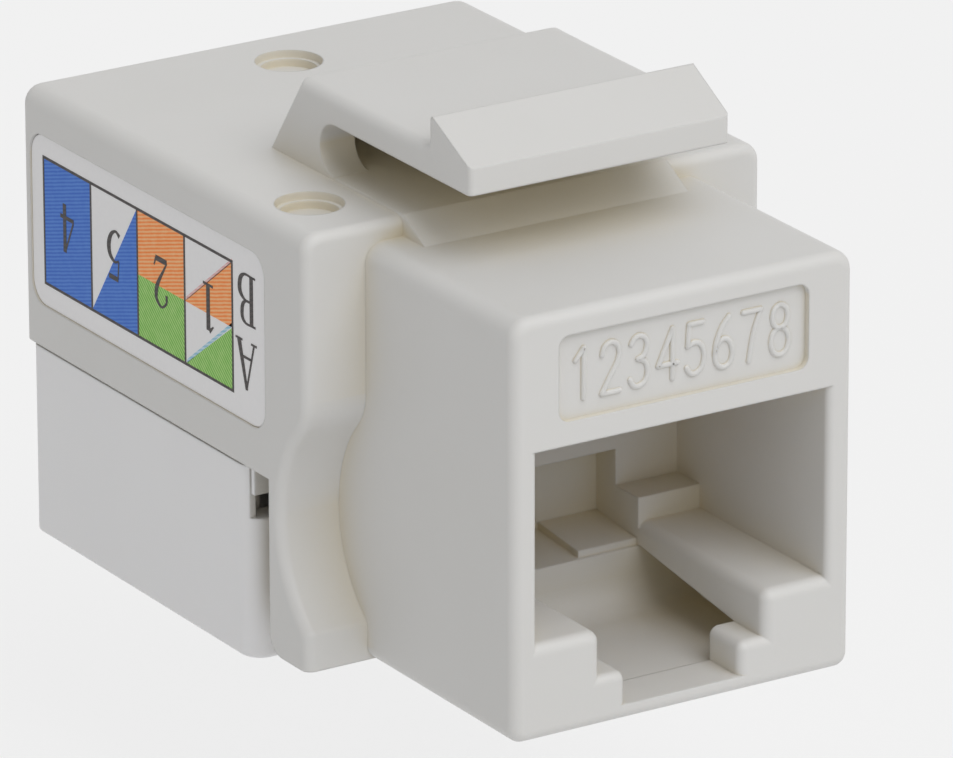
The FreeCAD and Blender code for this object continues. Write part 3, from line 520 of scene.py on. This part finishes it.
class Ink:
    """Thin closed solids of one ink on a label, gathered into one mesh."""

    def __init__(self, side):
        self.side = side
        self.base = side * FILM_FACE
        self.points, self.faces = [], []

    def solid(self, outline, height):
        """Flat piece of ink with this outline in (y, z), standing this high on the film."""
        count, first = len(outline), len(self.points)
        for level in (-SUNK, height):
            self.points += [(self.base + self.side * level, y, z) for y, z in outline]
        self.faces.append(tuple(range(first, first + count)))
        self.faces.append(tuple(range(first + 2 * count - 1, first + count - 1, -1)))
        for i in range(count):
            j = (i + 1) % count
            self.faces.append((first + i, first + count + i, first + count + j, first + j))

    def stroke(self, line, height):
        """Ribbon along (y, z, width) points."""
        left, right = [], []
        for i, knot in enumerate(line):
            ahead = line[min(i + 1, len(line) - 1)] - line[max(i - 1, 0)]
            across = Vector((-ahead[1], ahead[0])).normalized() * knot[2] / 2
            left.append((knot[0] + across[0], knot[1] + across[1]))
            right.append((knot[0] - across[0], knot[1] - across[1]))
        self.solid(left + right[::-1], height)

    def figure(self, letter, y, z, tall):
        """Letter or figure upside down, its middle at (y, z)."""
        for order, stroke in enumerate(FIGURES[letter]):
            line = [Vector((y + (x - FIGURE_MIDDLE) * tall * -self.side, z - (up - 0.5) * tall,
                            width * tall)) for x, up, width in map(tuple, smooth_line(stroke))]
            self.stroke(line, FIGURE_HIGH + STROKE_STEP * order)

    def finish(self, name, surface):
        """All that was gathered, as one piece on the jack."""
        piece = mesh_piece(name, self.points, self.faces, surface)
        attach(piece, "jack")


# Where the print lies: its places back to front, and its levels up from the origin
CELL_EDGES = [28.77, 25.27, 21.86, 18.44, 15.03]
PRINT_LOW, PRINT_MIDDLE, PRINT_HIGH = 1.30, 3.75, 6.30
LINE_WIDE = 0.11
FIGURE_TALL, FIGURE_LEVEL = 1.95, 3.95
LETTER_Y, LETTER_LEVEL, LETTER_APART = 13.93, 5.15, 2.58
OVERPRINT = {"orange": "pink", "green": "sky"}


def label_print(side, word, figures, letters_by_row, colours):
    """Print of one wiring label: a frame of four cells with coloured fields, their contact
    numbers, and the letters of the two wiring schemes. It reads with the jack upside down."""
    low, middle, high = PRINT_LOW, PRINT_MIDDLE, PRINT_HIGH
    fields = {}

    def field(ink, outline):
        fields.setdefault(ink, Ink(side)).solid(outline, FIELD_HIGH)

    for plan, back, front in zip(colours, CELL_EDGES, CELL_EDGES[1:]):
        if plan[0] == "full":
            field(plan[1], [(back, low), (front, low), (front, high), (back, high)])
        elif plan[0] == "slant":
            field(plan[1], [(back, low), (front, low), (front, high)])
        elif plan[0] == "halves":
            field(plan[1], [(back, middle), (front, middle), (front, high), (back, high)])
            field(plan[2], [(back, low), (front, low), (front, middle), (back, middle)])
        else:
            field(plan[1], [(back, middle), (front, middle), (front, high)])
            field(plan[2], [(back, low), (front, low), (front, middle)])
            # a pale sliver along the slanting edge of each field
            for ink, level in zip(plan[1:], (middle, low)):
                field(OVERPRINT[ink], [(back - 0.12, level + 0.06), (front, level + 2.51),
                                       (front, level + 2.66), (back - 0.12, level + 0.2)])
    for ink, solids in fields.items():
        solids.finish("label_%s_%s" % (word, ink), INKS[ink])
    dark = Ink(side)
    half = LINE_WIDE / 2
    for y in CELL_EDGES:
        dark.stroke([Vector((y, low - half, LINE_WIDE)),
                     Vector((y, high + half, LINE_WIDE))], UPRIGHT_LINE_HIGH)
    for z in (low, high):
        dark.stroke([Vector((CELL_EDGES[0] + half, z, LINE_WIDE)),
                     Vector((CELL_EDGES[-1] - half, z, LINE_WIDE))], LEVEL_LINE_HIGH)
    for figure, back, front in zip(figures, CELL_EDGES, CELL_EDGES[1:]):
        dark.figure(figure, (back + front) / 2, FIGURE_LEVEL, FIGURE_TALL)
    for row, letter in enumerate(letters_by_row):
        dark.figure(letter, LETTER_Y, LETTER_LEVEL - LETTER_APART * row, FIGURE_TALL)
    dark.finish("label_%s_lines" % word, ink_dark)


# ---------------------------------------------------------------- numbers in the sunk panel
# The same figures as rounded ribs in the mould, in units of the figure's height
RIBS = {
    "1": [[(0.08, 0.78), (0.26, 1.0)], [(0.26, 1.0), (0.26, 0.0)]],
    "2": [[(0.04, 0.76), (0.09, 0.93), (0.24, 1.0), (0.38, 0.92), (0.42, 0.75), (0.35, 0.54),
           (0.18, 0.26), (0.03, 0.0)], [(0.03, 0.0), (0.43, 0.0)]],
    "3": [[(0.05, 0.85), (0.12, 0.96), (0.24, 1.0), (0.37, 0.93), (0.4, 0.77), (0.33, 0.6),
           (0.2, 0.54)],
          [(0.2, 0.54), (0.36, 0.47), (0.42, 0.28), (0.37, 0.09), (0.23, 0.0), (0.1, 0.03),
           (0.03, 0.16)]],
    "4": [[(0.34, 0.0), (0.34, 1.0)], [(0.34, 1.0), (0.02, 0.3)], [(0.02, 0.3), (0.45, 0.3)]],
    "5": [[(0.39, 1.0), (0.08, 1.0)], [(0.08, 1.0), (0.05, 0.56)],
          [(0.05, 0.56), (0.19, 0.62), (0.34, 0.56), (0.42, 0.36), (0.37, 0.11), (0.22, 0.0),
           (0.1, 0.03), (0.03, 0.14)]],
    "6": [[(0.34, 1.0), (0.17, 0.79), (0.06, 0.52), (0.03, 0.27), (0.08, 0.08), (0.22, 0.0),
           (0.37, 0.08), (0.42, 0.28), (0.37, 0.48), (0.24, 0.57), (0.1, 0.5), (0.04, 0.36)]],
    "7": [[(0.03, 1.0), (0.43, 1.0)], [(0.43, 1.0), (0.26, 0.55), (0.16, 0.0)]],
    "8": [[(0.23, 1.0), (0.36, 0.93), (0.4, 0.77), (0.35, 0.6), (0.23, 0.54), (0.11, 0.6),
           (0.06, 0.77), (0.1, 0.93), (0.23, 1.0)],
          [(0.23, 0.54), (0.38, 0.46), (0.43, 0.27), (0.37, 0.07), (0.23, 0.0), (0.09, 0.07),
           (0.03, 0.27), (0.08, 0.46), (0.23, 0.54)]],
}


def panel_figures():
    """Contact numbers, raised as rounded ribs in the sunk panel above the socket, the first
    contact on the left."""
    tall, apart, thick = 1.9, 1.2, 0.22
    panel_middle = 11.94 + 3.25 / 2     # its lower edge and half its height
    panel_depth = 0.245                 # the ribs run along its floor, half sunk in it
    figure_middle = 0.23                # across a figure, in units of its height
    tips = ((0.095, 0.4), (0.07, 0.75), (0.035, 0.95))      # rounding of a rib's ends
    ribs = bpy.data.curves.new("contact_numbers", "CURVE")
    ribs.dimensions = "3D"
    ribs.bevel_depth = thick / 2 * MM
    ribs.bevel_resolution = 3
    ribs.use_fill_caps = True
    for place in range(8):
        for stroke in RIBS[str(place + 1)]:
            line = [Vector(((place - 3.5) * apart + (x - figure_middle) * tall, (up - 0.5) * tall))
                    for x, up in map(tuple, smooth_line(stroke))]
            ahead = (line[1] - line[0]).normalized()
            behind = (line[-1] - line[-2]).normalized()
            run = [(line[0] - ahead * out, size) for out, size in tips]
            run += [(knot, 1.0) for knot in line]
            run += [(line[-1] + behind * out, size) for out, size in reversed(tips)]
            spline = ribs.splines.new("POLY")
            spline.points.add(len(run) - 1)
            for point, (knot, size) in zip(spline.points, run):
                point.co = (knot.x * MM, knot.y * MM, 0.0, 1.0)
                point.radius = size
    ribs.materials.append(abs_moulded)
    piece = bpy.data.objects.new("contact_numbers", ribs)
    piece.rotation_euler = (math.radians(90), 0, 0)
    piece.location = (0, panel_depth * MM, (panel_middle - LIFT) * MM)
    bpy.context.scene.collection.objects.link(piece)
    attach(piece, "jack")


latch_strip()
label_film(-1, "left")
label_film(1, "right")
label_print(-1, "left", "4521", "BA",
            [("full", "blue"), ("slant", "blue"), ("halves", "orange", "green"),
             ("corners", "orange", "green")])
label_print(1, "right", "8763", "BA",
            [("full", "brown"), ("slant", "brown"), ("halves", "green", "orange"),
             ("corners", "green", "orange")])
panel_figures()


# ---------------------------------------------------------------- floor, light, camera
CAP_TRAVEL = 8.5        # how far the cap slides down off the wire block
FLOOR_REACH = 3.0       # half the floor's side, in metres
PAPER_SHARE = 0.88      # how much of the floor that the camera sees is the even backdrop
ROOM_LIGHT = 0.43       # strength of the even light from all round
LOOK_AT = Vector((0.0, 0.012, 0.0))     # what the lamps point at, in metres


def shown_rays(tree):
    """1 for what the camera sees directly, in a shiny surface or through a clear one."""
    path = add(tree, "LightPath")
    seen = path.outputs["Is Camera Ray"]
    for ray in ("Is Glossy Ray", "Is Transmission Ray"):
        seen = add(tree, "Math", {0: seen, 1: path.outputs[ray]}, operation="MAXIMUM").outputs[0]
    return seen


def soft_floor():
    """Pale floor, low enough for the cap to come off above it. Its paper is matt, with a haze too
    faint to see as a pattern, and it keeps the jack's shadow."""
    clear = 0.05        # between the floor and the cap at its limit
    low = cad_box[0][2] - (CAP_TRAVEL + clear) * MM
    mesh = bpy.data.meshes.new("floor")
    corners = [(x * FLOOR_REACH, y * FLOOR_REACH, low)
               for x, y in ((-1, -1), (1, -1), (1, 1), (-1, 1))]
    mesh.from_pydata(corners, [], [(0, 1, 2, 3)])
    floor = bpy.data.objects.new("floor", mesh)
    bpy.context.scene.collection.objects.link(floor)
    material, tree, place = new_material("floor_paper")
    haze = add(tree, "TexNoise", {"Vector": place, "Scale": per_metre(250), "Detail": 1.0})
    colour = add(tree, "Mix", {0: haze.outputs["Fac"], 6: linear(FLOOR_WHITE),
                               7: linear(FLOOR_SHADE)}, data_type="RGBA")
    paper = add(tree, "BsdfPrincipled", {"Base Color": colour.outputs[2], "Roughness": 0.9,
                                         "Specular IOR Level": 0.0})
    even = add(tree, "Emission", {"Color": linear(BACKDROP), "Strength": 1.0})
    share = add(tree, "Math", {0: shown_rays(tree), 1: PAPER_SHARE}, operation="MULTIPLY")
    both = add(tree, "MixShader", {0: share.outputs[0], 1: paper.outputs[0], 2: even.outputs[0]})
    add(tree, "OutputMaterial", {"Surface": both.outputs[0]})
    mesh.materials.append(material)


def soft_light(name, direction, distance, size, watts):
    """Round softbox that faces the jack, with its distance and size in metres."""
    lamp = bpy.data.lights.new(name, "AREA")
    lamp.shape = "DISK"
    lamp.size = size
    lamp.energy = watts
    holder = bpy.data.objects.new(name, lamp)
    toward = Vector(direction).normalized()
    holder.location = LOOK_AT + toward * distance
    holder.rotation_euler = toward.to_track_quat("Z", "Y").to_euler()
    bpy.context.scene.collection.objects.link(holder)


def studio():
    """Floor, two softboxes and an even pale room."""
    soft_floor()
    soft_light("top_softbox", (0.12, -0.52, 0.85), 0.8, 0.8, 2.4)
    soft_light("front_softbox", (0.05, -0.74, 0.67), 0.9, 0.6, 1.2)
    world = bpy.data.worlds.new("studio")
    bpy.context.scene.world = world
    world.use_nodes = True
    tree = world.node_tree
    tree.nodes.clear()
    room = add(tree, "Background", {"Color": (1, 1, 1, 1), "Strength": ROOM_LIGHT})
    paper = add(tree, "Background", {"Color": linear(BACKDROP), "Strength": 1.0})
    both = add(tree, "MixShader", {0: shown_rays(tree), 1: room.outputs[0], 2: paper.outputs[0]})
    add(tree, "OutputWorld", {"Surface": both.outputs[0]})
    bpy.context.scene.view_settings.view_transform = "Standard"


def photo_camera():
    """Long lens from the front left and above, fitted to the photograph's edges."""
    data = bpy.data.cameras.new("camera")
    data.sensor_fit = "HORIZONTAL"
    data.sensor_width = 36.0
    data.lens = 372.8
    data.clip_start = 0.01
    camera = bpy.data.objects.new("camera", data)
    right = Vector((0.846900, -0.531749, -0.001900))
    up = Vector((0.186918, 0.294351, 0.937240))
    back = Vector((-0.497817, -0.794104, 0.348679))
    turn = Matrix((right, up, back)).transposed().to_4x4()
    camera.matrix_world = Matrix.Translation((-0.181019, -0.274805, 0.126938)) @ turn
    bpy.context.scene.collection.objects.link(camera)
    bpy.context.scene.camera = camera


studio()
photo_camera()
